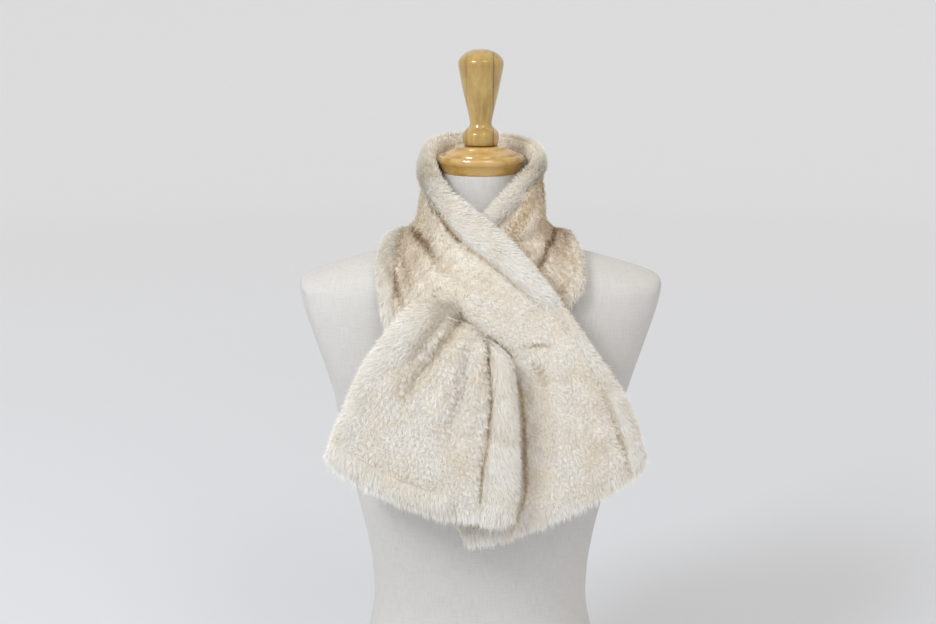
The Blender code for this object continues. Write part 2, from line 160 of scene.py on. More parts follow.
RIGHT_CREASES = [
    Crease(((1.6, 0.84), (2.4, 0.72), (3.4, 0.60), (4.6, 0.66)), 4.5, 3.6, 0.95),
    Crease(((2.9, 0.42), (4.8, 0.44)), 2.2, 7, 0.20),
    Crease(((1.8, 0.31), (2.6, 0.28), (3.6, 0.30), (4.4, 0.36)), -6.5, 26),
    Crease(((6.85, 0.36), (7.5, 0.40), (8.1, 0.42), (9.3, 0.31), (10.2, 0.31)), 5.0, 5.5, 0.45, 0.6),
    Crease(((7.2, 0.70), (7.7, 0.74), (9.0, 0.812), (10.2, 0.815), (11.1, 0.797), (12.4, 0.805)),
           4.0, 3.2, 0.75, 0.7),
    Crease(((8.3, 0.61), (9.6, 0.60), (10.8, 0.60)), 2.6, 7, 0.20),
    Crease(((7.3, 0.22), (8.2, 0.27), (9.2, 0.24)), 1.2, 9, 0.30),
    Crease(((6.6, 0.22), (8.6, 0.24)), -4.0, 26),
    Crease(((7.8, 0.20), (10.4, 0.18)), -4.5, 16),
    Crease(((7.3, 0.53), (10.0, 0.48)), -4.0, 11),
    Crease(((7.3, 0.66), (9.5, 0.70)), -2.5, 8),
]
# Course along which the right half's knit is pulled open beside the neck
OPEN_KNIT = Crease(((2.0, 0.17), (3.1, 0.19), (3.8, 0.24), (4.9, 0.38)), 0.0, 10)
OPEN_GAIN = 1.4

# Browner knit round the neck, partly its own tone and partly painted shade: rows between which it
# fades, and the shade at both
LEFT_SHADE = ((4.6, 6.6), (0.42, 0.0))
RIGHT_SHADE = ((5.6, 7.2), (0.54, 0.0))
UPPER_SHADE = 0.65   # share of it that shows above the band's middle
SHADE_FROM = 0.35    # shares of the width between which the rest sets in
SHADE_SPAN = 0.3

# Borders: from which row to which, or for a hem from which share of the width to which, then the
# strip's width and how softly it goes over into the knit in millimetres, its share of sleek hair,
# and the height of its roll.
LEFT_TRIMS = [
    Trim("upper", -1.0, 1.6, 27, 4, 1.0, 4.5),
    Trim("upper", 0.6, 4.6, 27, 4, 1.0, 6.5),
    Trim("upper", 4.0, 7.6, 27, 4, 1.0, 4.0),
    Trim("upper", 7.0, 10.2, 22, 14, 0.25, 1.8),
    Trim("upper", 9.4, 13.0, 23, 6, 0.85, 3.2),
    Trim("lower", -1.0, 1.5, 20, 8, 0.6, 1.8),
    Trim("lower", 0.8, 5.6, 23, 5, 0.9, 2.2),
    Trim("lower", 5.4, 13.0, 22, 14, 0.5, 1.0),
    Trim("hem", -1.0, 2.0, 16, 12, 0.45, 0.8),
]
RIGHT_TRIMS = [
    Trim("upper", -1.0, 1.6, 27, 4, 1.0, 4.5),
    Trim("upper", 0.6, 4.3, 17, 4, 1.0, 4.0),
    Trim("upper", 3.6, 8.0, 25, 5, 1.0, 5.0),
    Trim("upper", 6.6, 9.4, 36, 10, 0.85, 5.0),
    Trim("upper", 8.6, 14.0, 22, 16, 0.65, 2.4),
    Trim("lower", -1.0, 1.5, 20, 8, 0.6, 1.8),
    Trim("lower", 0.8, 6.9, 14, 14, 0.35, 1.2),
    Trim("lower", 7.0, 10.4, 28, 4, 1.0, 4.6),
    Trim("lower", 9.7, 14.0, 38, 4, 1.0, 4.6),
    Trim("hem", -1.0, 0.69, 31, 4, 1.0, 7.0),
    Trim("hem", 0.60, 2.0, 14, 10, 0.55, 1.0),
]

# Strands of hair, for each stretch: those of the inner side, and those of the knit and the borders
STRETCHES = [
    Stretch("left_collar", "left", 0.0, LEFT_CROSSING, 9500, 30000, 26000,
            ("left_collar_knit", "left_collar_upper_border", "left_collar_lower_border")),
    Stretch("front_panel", "left", LEFT_CROSSING, None, 4500, 50000, 31000,
            ("front_panel_knit", "front_panel_upper_border", "front_panel_lower_border",
             "front_panel_hem")),
    Stretch("right_collar", "right", 0.0, SLIT_ROW, 9500, 26000, 20000,
            ("right_collar_knit", "right_collar_upper_border", "right_collar_lower_border")),
    Stretch("pulled_fan", "right", SLIT_ROW, None, 4500, 38000, 35000,
            ("pulled_fan_knit", "pulled_fan_left_border", "pulled_fan_right_border",
             "pulled_fan_hem")),
]
# Where the next stretch lies over one of them, and the share of its strands that is left there
HIDDEN = {
    "right_collar": Patch(5.3, 6.3, math.inf, 0.0, math.inf, 0.15),
    "front_panel": Patch(7.3, math.inf, 22.0, 335.0, 470.0, 0.25),
}
INNER_SPARSE = 0.25  # share of the inner side's strands away from its edges
INNER_EDGE = 32.0    # how far in from an edge that side shows

# Rings of the form: height, half width, how far it reaches to the front and back, squareness
FORM_RINGS = [
    (0, 152, 100, 112, 2.3), (4, 156, 103, 115, 2.3), (50, 150, 101, 113, 2.3),
    (100, 137, 94, 104, 2.25), (150, 121, 83, 91, 2.2), (189, 115, 78, 83, 2.2),
    (218, 116, 80, 82, 2.2), (260, 122, 87, 85, 2.2), (300, 131, 94, 88, 2.2),
    (350, 140.5, 100, 92, 2.3), (395, 150.5, 102, 94, 2.4), (435, 162, 97, 94, 2.6),
    (461, 170.5, 91, 92, 2.8), (487, 179, 84, 88, 3.0), (513, 186.5, 77, 82, 3.2),
    (529, 189, 72, 77, 3.2), (537, 187, 69, 74, 3.0), (542, 179, 67, 72, 2.8),
    (549, 159, 65, 69, 2.6), (557, 133, 61, 65, 2.4), (565, 105, 58, 60, 2.2),
    (574, 79, 54, 56, 2.1), (586, 58, 50, 51, 2.0), (605, 47, 47, 46, 2.0),
    (630, 43, 43, 42, 2.0), (651.7, 39, 39, 39, 2.0),
]
FORM_STEPS = 144     # points round the form
RING_STEPS = 4       # rings made between two of the table's
ARMHOLE_SLOPE = 0.26
ARMHOLE_LOW = 400.0
ARMHOLE_HIGH = 542.0
ARMHOLE_FADE = 15.0  # the plates run out into the shoulder and the waist over this height

CAP_PROFILE = [
    (0, 675.6), (24.0, 675.6), (26.9, 674.8), (27.5, 672.6), (28.6, 671.6), (36.6, 668.2),
    (37.4, 666.0), (38.6, 665.6), (41.0, 666.2), (43.6, 665.2), (44.6, 662.6), (44.2, 659.8),
    (42.6, 656.6), (41.6, 653.6), (40.6, 649.4), (39.8, 648.4), (0, 648.4),
]
KNOB_PROFILE = [
    (0, 773), (8, 772.4), (14.5, 770), (19.6, 766.2), (22.6, 762), (23.4, 758.4), (22.6, 753),
    (18.2, 730), (14, 713), (11.6, 702), (11.0, 697.5), (12.4, 694), (15.6, 691.4), (18, 689),
    (18.8, 686), (18.4, 681), (17.6, 675.8), (0, 675.8),
]
TURNED_STEPS = 80
CORNER_CUT = 0.14    # share of each side that goes when a turned profile's corners are cut
CORNER_CUTS = 2


def to_metres(points):
    return (np.asarray(points) + (0.0, AXIS_Y, 0.0)) * MM


def unit(vectors):
    return vectors / np.maximum(np.linalg.norm(vectors, axis=-1, keepdims=True), 1e-9)


# Materials

class Nodes:
    """Short calls for a material's nodes."""

    def __init__(self, name):
        self.material = bpy.data.materials.new(name)
        self.material.use_nodes = True
        self.tree = self.material.node_tree
        self.shader = self.tree.nodes["Principled BSDF"]

    def set(self, **values):
        for name, value in values.items():
            self.shader.inputs[name.replace("_", " ")].default_value = value

    def put(self, kind, inputs=(), **settings):
        node = self.tree.nodes.new(kind)
        for name, value in settings.items():
            setattr(node, name, value)
        for key, value in dict(inputs).items():
            if isinstance(value, bpy.types.NodeSocket):
                self.tree.links.new(value, node.inputs[key])
            else:
                node.inputs[key].default_value = value
        return node

    def ramp(self, value, stops):
        node = self.put("ShaderNodeValToRGB", {0: value})
        bar = node.color_ramp
        while len(bar.elements) < len(stops):
            bar.elements.new(0.5)
        for element, (place, colour) in zip(bar.elements, stops):
            element.position = place
            element.color = (*colour, 1.0)
        return node.outputs["Color"]

    def math(self, operation, a, b=0.0, c=0.0):
        return self.put("ShaderNodeMath", {0: a, 1: b, 2: c}, operation=operation).outputs[0]

    def blend(self, share, a, b, kind="MIX"):
        inputs = {0: share, 6: a, 7: b}
        return self.put("ShaderNodeMix", inputs, data_type="RGBA", blend_type=kind).outputs[2]

    def noise(self, vector, scale, detail=2.0, stretch=(1, 1, 1)):
        moved = self.put("ShaderNodeMapping", {"Vector": vector, "Scale": stretch}).outputs[0]
        inputs = {"Vector": moved, "Scale": scale, "Detail": detail}
        return self.put("ShaderNodeTexNoise", inputs).outputs["Fac"]

    def place(self):
        return self.put("ShaderNodeTexCoord").outputs["Object"]

    def uv(self):
        return self.put("ShaderNodeUVMap", uv_map="UVMap").outputs["UV"]

    def split(self, vector):
        return self.put("ShaderNodeSeparateXYZ", {0: vector}).outputs

    def finish(self, colour, bump=None, bump_distance=0.001, bump_strength=1.0):
        self.tree.links.new(colour, self.shader.inputs["Base Color"])
        if bump is not None:
            inputs = {"Height": bump, "Distance": bump_distance, "Strength": bump_strength}
            node = self.put("ShaderNodeBump", inputs)
            self.tree.links.new(node.outputs["Normal"], self.shader.inputs["Normal"])
        return self.material


# From brown to full colour, shared by the hair and the cloth under it: the brown of the hair's roots,
# and of the painted shade in folds, lips, seams, gaps and tufts' edges
TONES = [
    (0.0, (0.46, 0.33, 0.20)),
    (0.35, (0.84, 0.76, 0.645)),
    (0.7, (0.98, 0.965, 0.935)),
    (1.0, WHITE),
]


def hair_material(name, root, body, tip, patch):
    """Hair: the map's second number runs from the root, 0, to the tip, 1, and its first is a tone, with
    painted shade in it.

    patch is the shade of its browner patches.
    """
    n = Nodes(name)
    tone, along, _ = n.split(n.uv())
    colour = n.ramp(along, [(0.0, root), (0.45, body), (1.0, tip)])
    toned = n.blend(1.0, colour, n.ramp(tone, TONES), "MULTIPLY")
    patches = n.ramp(n.noise(n.place(), 34.0, 4.0), [(0.38, patch), (0.56, WHITE)])
    n.set(Roughness=0.7, Specular_IOR_Level=0.25, Sheen_Weight=0.12, Sheen_Roughness=0.5)
    return n.finish(n.blend(1.0, toned, patches, "MULTIPLY"))


def cloth_material(name, dark, light):
    """The dense underfur at the hair's roots: the map's first number is its tone, with painted shade,
    as for the hair.
    """
    n = Nodes(name)
    place = n.place()
    tone = n.ramp(n.split(n.uv())[0], TONES)
    fur = n.ramp(n.noise(place, 160.0, 3.0), [(0.3, dark), (0.7, light)])
    n.set(Roughness=0.9, Specular_IOR_Level=0.15, Sheen_Weight=0.2)
    return n.finish(n.blend(1.0, fur, tone, "MULTIPLY"), n.noise(place, 900.0), 0.0008, 0.6)


THREAD = 0.0008      # from one thread of the linen to the next, in metres
LINEN = [
    (0.75, (0.585, 0.566, 0.544)),
    (1.0, (0.612, 0.594, 0.573)),
    (1.28, (0.637, 0.62, 0.60)),
]


def linen_material():
    """Plain weave: even threads both ways, with slubs that are uneven in thickness and tone."""
    n = Nodes("linen")
    uv = n.uv()
    x, y, _ = n.split(uv)
    warp = n.math("SINE", n.math("MULTIPLY", x, 2 * math.pi / THREAD))
    weft = n.math("SINE", n.math("MULTIPLY", y, 2 * math.pi / THREAD))
    upright = n.noise(uv, 1.0, 3.0, (1300, 60, 1))
    level = n.noise(uv, 1.0, 3.0, (60, 1300, 1))
    slubs = n.math("ADD", upright, level)
    tone = n.ramp(slubs, LINEN)
    weave = n.math("ADD", n.math("MULTIPLY", warp, weft), n.math("MULTIPLY", slubs, 2.0))
    n.set(Roughness=0.88, Specular_IOR_Level=0.2, Sheen_Weight=0.12)
    return n.finish(tone, weave, 0.0002, 0.35)


STREAK_COLOUR = (0.16, 0.07, 0.02, 1.0)
KNOB_STREAKS = [Streak(0.0125, 0.0025, 0.0010, 0.85), Streak(-0.0145, 0.003, 0.0012, 0.35)]


def wood_material(name, pale, mid, dark, grain_along, streaks=()):
    """Varnished wood: fine grain drawn out along one axis, and a few dark streaks at given places."""
    n = Nodes(name)
    place = n.place()

    def grain(scale, detail, drawn_out):
        stretch = [drawn_out if axis == grain_along else 1.0 for axis in "xyz"]
        return n.noise(place, scale, detail, stretch)

    bands, fibres = grain(120.0, 4.0, 0.12), grain(900.0, 3.0, 0.03)
    mixed = n.math("ADD", n.math("MULTIPLY", bands, 0.75), n.math("MULTIPLY", fibres, 0.25))
    colour = n.ramp(mixed, [(0.36, dark), (0.5, mid), (0.64, pale)])
    for streak in streaks:
        winding = n.noise(place, 25.0, 1.0, (0, 0, 1))
        drift = n.math("MULTIPLY_ADD", winding, streak.wander, -streak.wander / 2)
        x = n.math("ADD", n.split(place)[0], drift)
        aside = n.math("ABSOLUTE", n.math("SUBTRACT", x, streak.x))
        share = n.math("SUBTRACT", 1.0, n.math("DIVIDE", aside, streak.width))
        shown = n.math("MULTIPLY", n.put("ShaderNodeClamp", {0: share}).outputs[0], streak.depth)
        colour = n.blend(shown, colour, STREAK_COLOUR)
    n.set(Roughness=0.34, Coat_Weight=0.9, Coat_Roughness=0.07, Specular_IOR_Level=0.4)
    return n.finish(colour, fibres, 0.0001, 0.15)


# Meshes

def add_object(name, data):
    made = bpy.data.objects.new(name, data)
    bpy.context.scene.collection.objects.link(made)
    return made


def add_mesh(name, vertices, faces, material, uvs=None):
    mesh = bpy.data.meshes.new(name)
    mesh.from_pydata(np.asarray(vertices).tolist(), [], [list(face) for face in faces])
    return finish_mesh(name, mesh, material, uvs)


def add_hair_mesh(name, vertices, triangles, material, uvs):
    """Very many triangles, put in as whole arrays."""
    mesh = bpy.data.meshes.new(name)
    count = len(triangles)
    mesh.vertices.add(len(vertices))
    mesh.vertices.foreach_set("co", vertices.astype(np.float32).ravel())
    mesh.loops.add(count * 3)
    mesh.loops.foreach_set("vertex_index", triangles.astype(np.int32).ravel())
    mesh.polygons.add(count)
    mesh.polygons.foreach_set("loop_start", np.arange(0, count * 3, 3, dtype=np.int32))
    mesh.update(calc_edges=True)
    return finish_mesh(name, mesh, material, uvs)


def finish_mesh(name, mesh, material, uvs):
    """Puts a smooth mesh in metres into the scene, with its map and material."""
    if uvs is not None:
        layer = mesh.uv_layers.new(name="UVMap")
        corners = np.empty(len(mesh.loops), np.int32)
        mesh.loops.foreach_get("vertex_index", corners)
        layer.data.foreach_set("uv", np.asarray(uvs, np.float32)[corners].ravel())
    mesh.materials.append(material)
    mesh.shade_smooth()
    mesh.validate()
    piece = add_object(name, mesh)
    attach(piece, "root")
    return piece


def grid_corners(rows, columns):
    """A grid's numbers, and those at the four corners of each of its quads."""
    index = np.arange(rows * columns).reshape(rows, columns)
    return index, [index[:-1, :-1], index[1:, :-1], index[1:, 1:], index[:-1, 1:]]


def turned_rings(profile, steps):
    """Rings of points of a turned profile, their numbers, and the quads between them."""
    angle = np.linspace(0, 2 * math.pi, steps, endpoint=False)
    rings = [
        np.stack([r * np.cos(angle), r * np.sin(angle), np.full_like(angle, z)], axis=1)
        for r, z in profile
    ]
    index = np.arange(len(rings) * steps).reshape(-1, steps)
    after = np.roll(index, -1, axis=1)
    faces = np.stack([index[:-1], index[1:], after[1:], after[:-1]], axis=-1)
    return rings, index, faces.reshape(-1, 4).tolist()


def fan(centre, ring):
    """Triangles from one point to a ring."""
    return [[centre, int(a), int(b)] for a, b in zip(ring, np.roll(ring, -1))]


# Dress form and wood

def smooth_rings():
    """The table's rings with more between them, on a curve that doesn't overshoot."""
    table = np.array(FORM_RINGS, float)
    heights = table[:, 0]
    steep = np.diff(table[:, 1:], axis=0) / np.diff(heights)[:, None]
    slope = np.zeros_like(table[:, 1:])
    both = steep[:-1] * steep[1:]
    slope[1:-1] = np.where(both > 0, 2 * both / np.where(both > 0, steep[:-1] + steep[1:], 1), 0)
    slope[0], slope[-1] = steep[0], steep[-1]
    made = []
    for i in range(len(table) - 1):
        span = heights[i + 1] - heights[i]
        for k in range(RING_STEPS):
            t = k / RING_STEPS
            value = (
                (2 * t ** 3 - 3 * t ** 2 + 1) * table[i, 1:]
                + (t ** 3 - 2 * t ** 2 + t) * span * slope[i]
                + (3 * t ** 2 - 2 * t ** 3) * table[i + 1, 1:]
                + (t ** 3 - t ** 2) * span * slope[i + 1]
            )
            made.append(Ring(heights[i] + span * t, *value))
    return made + [Ring(*FORM_RINGS[-1])]


def form_ring(ring):
    """Points of one ring from the back's middle round to it again, and lengths from the front's.

    The armholes' plates cut its front quarters off, and run out softly at their top and bottom.
    """
    angle = np.linspace(0.5 * math.pi, -1.5 * math.pi, FORM_STEPS + 1)
    power = 2.0 / ring.squareness
    across = np.sign(np.cos(angle)) * np.abs(np.cos(angle)) ** power
    along = np.sign(np.sin(angle)) * np.abs(np.sin(angle)) ** power
    y = along * np.where(along > 0, ring.back, ring.front)
    side = np.abs(ring.half_width * across)
    inside = min(ring.height - ARMHOLE_LOW, ARMHOLE_HIGH - ring.height)
    slope = ARMHOLE_SLOPE * min(max(inside / ARMHOLE_FADE, 0.0), 1.0)
    side = np.where(y < 0, np.minimum(side, ring.half_width + slope * y), side)
    points = np.stack([np.sign(across) * side, y, np.full_like(y, ring.height)], axis=1)
    length = np.concatenate([[0.0], np.cumsum(np.linalg.norm(np.diff(points, axis=0), axis=1))])
    return points, length - length[FORM_STEPS // 2]


def make_form():
    points, maps = [], []
    for ring in smooth_rings():
        loop, length = form_ring(ring)
        points.append(loop)
        maps.append(np.stack([length, loop[:, 2]], axis=1))
    index, corners = grid_corners(len(points), FORM_STEPS + 1)
    faces = np.stack(corners, axis=-1).reshape(-1, 4).tolist()
    faces.append(index[0, :-1].tolist())
    faces.append(index[-1, :-1][::-1].tolist())
    vertices, uvs = to_metres(np.concatenate(points)), np.concatenate(maps) * MM
    piece = add_mesh("form_linen", vertices, faces, linen_material(), uvs)
    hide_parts("form_torso")


def rounded(profile):
    """The profile with its corners cut, and cut again, so that light runs round them."""
    points = np.array(profile, float)
    for _ in range(CORNER_CUTS):
        near = (1 - CORNER_CUT) * points[:-1] + CORNER_CUT * points[1:]
        far = CORNER_CUT * points[:-1] + (1 - CORNER_CUT) * points[1:]
        inner = np.stack([near, far], axis=1).reshape(-1, 2)
        points = np.concatenate([points[:1], inner[1:-1], points[-1:]])
    return points


def make_turned(name, profile, material, node):
    points = rounded(profile)
    rings, index, faces = turned_rings(points[1:-1], TURNED_STEPS)
    faces += fan(index.size, index[0]) + fan(index.size + 1, index[-1][::-1])
    ends = [(0, 0, points[0, 1]), (0, 0, points[-1, 1])]
    vertices = to_metres(np.concatenate([*rings, ends]))
    piece = add_mesh(name, vertices, faces, material)
    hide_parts(node)


# Scarf

class Band:
    """Half of the scarf, worked out at many places at once. It follows the CAD's band."""

    def __init__(self, rows, row_before, creases, trims, outward, slit):
        points = np.array(rows, float)
        last = 2 * points[-1] - points[-2]
        self.padded = np.concatenate([[np.array(row_before, float)], points, [last]])
        self.creases = creases
        self.trims = trims
        self.outward = outward
        self.slit = slit
        self.last = len(rows) - 1
        self.fine = np.linspace(0, self.last, FINE_STEPS * self.last + 1)
        upper, middle, lower = np.moveaxis(self.row(self.fine), 1, 0)
        self.widths = np.linalg.norm(middle - upper, axis=1) + np.linalg.norm(lower - middle, axis=1)
        steps = np.linalg.norm(np.diff(middle, axis=0), axis=1)
        self.lengths = np.concatenate([[0.0], np.cumsum(steps)])

    def row(self, u):
        i = np.clip(np.floor(u).astype(int), 0, self.last - 1)
        t = (u - i)[..., None, None]
        before, here, there, after = (self.padded[i + k] for k in range(4))
        bend = 2 * before - 5 * here + 4 * there - after
        twist = -before + 3 * here - 3 * there + after
        return here + 0.5 * ((there - before) * t + bend * t ** 2 + twist * t ** 3)

    def at(self, u, v):
        corner = np.maximum(0.0, (np.abs(2 * v - 1) - 1 + CORNER_SHARE) / CORNER_SHARE)
        ramp = np.clip(1.0 - (self.last - u) / CORNER_RAMP, 0.0, 1.0)
        rows = self.row(u - CORNER_ROWS * corner ** 2 * ramp ** 2)
        upper, middle, lower = (rows[..., k, :] for k in range(3))
        v = v[..., None]
        return (
            2 * (v - 0.5) * (v - 1) * upper
            - 4 * v * (v - 1) * middle
            + 2 * v * (v - 0.5) * lower
        )

    def slopes(self, u, v):
        along = self.at(u + NORMAL_STEP, v) - self.at(u - NORMAL_STEP, v)
        across = self.at(u, v + NORMAL_STEP) - self.at(u, v - NORMAL_STEP)
        return along / (2 * NORMAL_STEP), across / (2 * NORMAL_STEP)

    def width(self, u):
        return np.interp(u, self.fine, self.widths)

    def length(self, u):
        return np.interp(u, self.fine, self.lengths)

    def from_end(self, u, v):
        """Millimetres from the band's end."""
        return (self.last - u) * np.linalg.norm(self.slopes(u, v)[0], axis=-1)

    def lip(self, u, size):
        """How far a lip of the slit is from the slit's middle line."""
        share = np.clip((u - SLIT_FROM) / (SLIT_TO - SLIT_FROM), 0.0, 1.0)
        return SLIT_END_HALF + (size - SLIT_END_HALF) * np.abs(np.sin(math.pi * share)) ** SLIT_SWELL

    def from_lip(self, u, v):
        """Millimetres from the nearest lip, and how open the slit is there."""
        aside = (v - SLIT_MIDDLE) * self.width(u)
        size = np.where(aside < 0, UPPER_LIP, LOWER_LIP)
        half = self.lip(u, size)
        return np.abs(aside) - half, (half - SLIT_END_HALF) / (size - SLIT_END_HALF)

    def trace(self, line, u, v):
        """How strongly a fold shows at places: 1 in the middle of its deepest stretch."""
        rows, shares = zip(*line.course)
        share = np.clip((u - rows[0]) / (rows[-1] - rows[0]), 0.0, 1.0)
        swell = np.abs(np.sin(math.pi * share ** line.skew)) ** CREASE_SWELL
        swell = np.where((share > 0) & (share < 1), swell, 0.0)
        aside = (v - np.interp(u, rows, shares)) * self.width(u) / line.width
        return swell * np.exp(-aside * aside)

    def openness(self, u, v):
        """How open the knit is pulled at places."""
        if self.slit:
            return np.zeros_like(u)
        return np.minimum(OPEN_GAIN * self.trace(OPEN_KNIT, u, v), 1.0)

    def shade(self, u, v):
        """How much browner the knit is at places, partly its own tone and partly painted shade: most so
        round the neck and on the shoulders.
        """
        along = np.interp(u, *(LEFT_SHADE if self.slit else RIGHT_SHADE))
        return along * (UPPER_SHADE + (1 - UPPER_SHADE) * step((v - SHADE_FROM) / SHADE_SPAN))

    def crease(self, u, v):
        """Depth of the folds at places, and the painted shade in them and along the slit's lips."""
        depth, dark = np.zeros_like(u), np.zeros_like(u)
        for line in self.creases:
            shown = self.trace(line, u, v)
            depth += line.depth * shown
            dark += line.dark * shown
        if self.slit:
            gap, opened = self.from_lip(u, v)
            # painted shade along the slit's lips
            dark += LIP_PAINTED_SHADE * opened * np.exp(-np.maximum(gap, 0.0) / LIP_REACH)
        return depth, dark

    def trim(self, u, v):
        """Share of sleek border at places, the height of its roll, and the depth of its seam."""
        width = self.width(u)
        from_end = self.from_end(u, v)
        sleek, roll, seam = (np.zeros_like(u) for _ in range(3))
        for trim in self.trims:
            if trim.side == "hem":
                distance, run, soft = from_end, v, HEM_SOFT
            else:
                distance = v * width if trim.side == "upper" else (1 - v) * width
                run, soft = u, TRIM_SOFT
            present = step((run - trim.start) / soft) * step((trim.end - run) / soft)
            within = step((trim.width + 0.5 * trim.fade - distance) / trim.fade)
            across = np.clip(2 * distance / trim.width - 1, -1.0, 1.0)
            sleek = np.maximum(sleek, present * within * trim.sleek)
            roll = np.maximum(roll, present * trim.roll * (1 - np.abs(across) ** PLUMP))
            sharp = trim.sleek * SEAM_WIDTH / (SEAM_WIDTH + trim.fade)
            line = np.exp(-((distance - trim.width) / SEAM_WIDTH) ** 2)
            seam = np.maximum(seam, present * sharp * SEAM_DEPTH * line)
        return sleek, roll, seam * (1 - SEAM_LOST * np.clip(roll / FULL_ROLL, 0.0, 1.0))

    def cloth(self, u, v):
        """Outer and inner half thickness of the cloth."""
        width = self.width(u)
        across = v * width
        _, roll, seam = self.trim(u, v)
        outer = CLOTH_OUT + roll - seam
        inner = CLOTH_IN + ROLL_INSIDE * roll
        if not self.slit:
            squeezed = 1.0 - SQUEEZE * np.exp(-(((u - SLIT_ROW) / SQUEEZE_ROWS) ** 2))
            outer, inner = outer * squeezed, inner * squeezed
        outer = outer - self.crease(u, v)[0]
        edge = roundness(np.minimum(across, width - across) - EDGE_INSET)
        edge = np.minimum(edge, roundness(self.from_end(u, v) - HEM_INSET))
        if self.slit:
            gap, opened = self.from_lip(u, v)
            edge = np.minimum(edge, 1.0 - (1.0 - roundness(gap)) * opened)
        outer = LEAST_CLOTH + (outer - LEAST_CLOTH) * edge
        inner = LEAST_CLOTH + (inner - LEAST_CLOTH) * edge
        return outer, inner


def step(share):
    """A soft step from 0 to 1."""
    share = np.clip(share, 0.0, 1.0)
    return share * share * (3 - 2 * share)


def roundness(distance):
    """Share of its full thickness that the cloth has at a distance from a free edge."""
    share = np.clip(distance / EDGE_ROUND, 0.0, 1.0)
    return np.sqrt(1.0 - (1.0 - share) ** 2)


def lines(start, end, cells, round_start, round_end):
    """Places from start to end in millimetres, with closer ones in the rounding of a free edge."""
    first = [start + near for near in EDGE_LINES] if round_start else [start]
    last = [end - near for near in reversed(EDGE_LINES)] if round_end else [end]
    inner = np.linspace(first[-1], last[0], cells + 1)[1:-1]
    return np.array([*first, *inner, *last])


Cloth = namedtuple("Cloth", "points quads joined u v along across side")


def cloth_lines(stretch, band, halves):
    """Rows of the cloth's lines across the band, and for each its places along it.

    In the stretch with the slit each row is in two halves, which end at the slit's lips.
    """
    end = stretch.end
    if end is None:
        last_pace = np.linalg.norm(band.slopes(np.array([band.last - LAST_PACE]), np.array([0.5]))[0])
        end = band.last - HEM_INSET / last_pace
    length = band.length(end) - band.length(stretch.start)
    steps = lines(0.0, length, int(length / CELL), False, stretch.end is None)
    us = np.interp(band.length(stretch.start) + steps, band.lengths, band.fine)
    across_cells = int(band.width(0.5 * (stretch.start + end)) / CELL)
    table = []
    for u in us:
        width = band.width(u)
        ends = [EDGE_INSET, width - EDGE_INSET]
        if halves:
            middle = SLIT_MIDDLE * width
            ends[1:1] = middle - band.lip(u, UPPER_LIP), middle + band.lip(u, LOWER_LIP)
        cells = 2 * across_cells // len(ends)
        parts = [lines(*ends[k:k + 2], cells, True, True) for k in range(0, len(ends), 2)]
        table.append(np.concatenate(parts) / width)
    return us, np.array(table)


def make_cloth(stretch, band):
    """The closed shell of one stretch, with what its hair has to know.

    joined is true for the quads that face the next stretch of the scarf, where no hair grows.
    """
    halves = band.slit and stretch.end is None
    us, v = cloth_lines(stretch, band, halves)
    u = np.repeat(us[:, None], v.shape[1], axis=1)
    centre = band.at(u, v)
    along, across = band.slopes(u, v)
    normal = unit(np.cross(along, across)) * band.outward
    outer, inner = band.cloth(u, v)
    outside = centre + normal * outer[..., None]
    inside = centre - normal * inner[..., None]
    rows, columns = u.shape
    keep = np.ones((rows - 1, columns - 1), bool)
    if halves:
        opened = (us[:-1] >= SLIT_FROM) & (us[1:] <= SLIT_TO)
        keep[opened, columns // 2 - 1] = False
    quads = shell_quads(rows, columns, keep, band.outward)

    def both(grid):
        return np.concatenate([grid.reshape(-1, *grid.shape[2:])] * 2)

    side = np.repeat([1.0, -1.0], rows * columns)
    points = np.concatenate([outside.reshape(-1, 3), inside.reshape(-1, 3)])
    quad_rows = both(u)[quads]
    joined = np.all(quad_rows == us[0], axis=1)
    if stretch.end is not None:
        joined |= np.all(quad_rows == us[-1], axis=1)
    maps = [both(grid) for grid in (u, v, unit(along), unit(across))]
    return Cloth(points, quads, joined, *maps, side)


def shell_quads(rows, columns, keep, outward):
    """Quads of the outer grid, the inner grid and the rims between them, all facing outwards."""
    corners = grid_corners(rows, columns)[1]
    under = rows * columns
    outer = np.stack(corners, axis=-1)[keep]
    inner = outer[:, ::-1] + under
    padded = np.pad(keep, 1)
    neighbours = [padded[1:-1, :-2], padded[2:, 1:-1], padded[1:-1, 2:], padded[:-2, 1:-1]]
    rims = []
    for side, neighbour in enumerate(neighbours):
        bare = keep & ~neighbour
        low, high = corners[side][bare], corners[(side + 1) % 4][bare]
        rims.append(np.stack([high, low, low + under, high + under], axis=-1))
    quads = np.concatenate([outer, inner, *rims])
    return quads if outward > 0 else quads[:, ::-1]


def vertex_normals(points, quads):
    a, b, c, d = (points[quads[:, k]] for k in range(4))
    faces = np.cross(c - a, d - b)
    normals = np.zeros_like(points)
    for k in range(4):
        np.add.at(normals, quads[:, k], faces)
    return unit(normals)


# Hair

Hair = namedtuple("Hair", "length width rise loose clump pitch")
Lattice = namedtuple("Lattice", "row column to_s to_t")

# Length and width in millimetres, rise in degrees and how loosely the strands lie; then how far they
# draw together in clumps, and how far apart the clumps are
KNIT_HAIR = Hair(5.2, 0.42, 38.0, 0.62, 0.20, 2.0)
BORDER_HAIR = Hair(7.4, 0.44, 20.0, 0.15, 0.25, 2.6)
HEM_HAIR = Hair(10.6, 0.46, 13.0, 0.13, 0.42, 3.0)
INNER_HAIR = Hair(6.4, 0.66, 24.0, 0.28, 0.30, 3.0)
LENGTHS = (0.65, 1.12)  # from the shortest to the longest, as shares of the length
STRAY_SHARE = 0.03   # strands that stick out, and how much longer they are
STRAY_LENGTH = 1.45
RISE_SPREAD = 7.0    # degrees
RISES = (4.0, 75.0)
TWIST = 0.45         # how unevenly the ribbons turn their flat sides
CLUMP_NARROW = 0.8   # a clump's size across the band, as a share of that along it
TABLE = 128          # size of the tables of random numbers

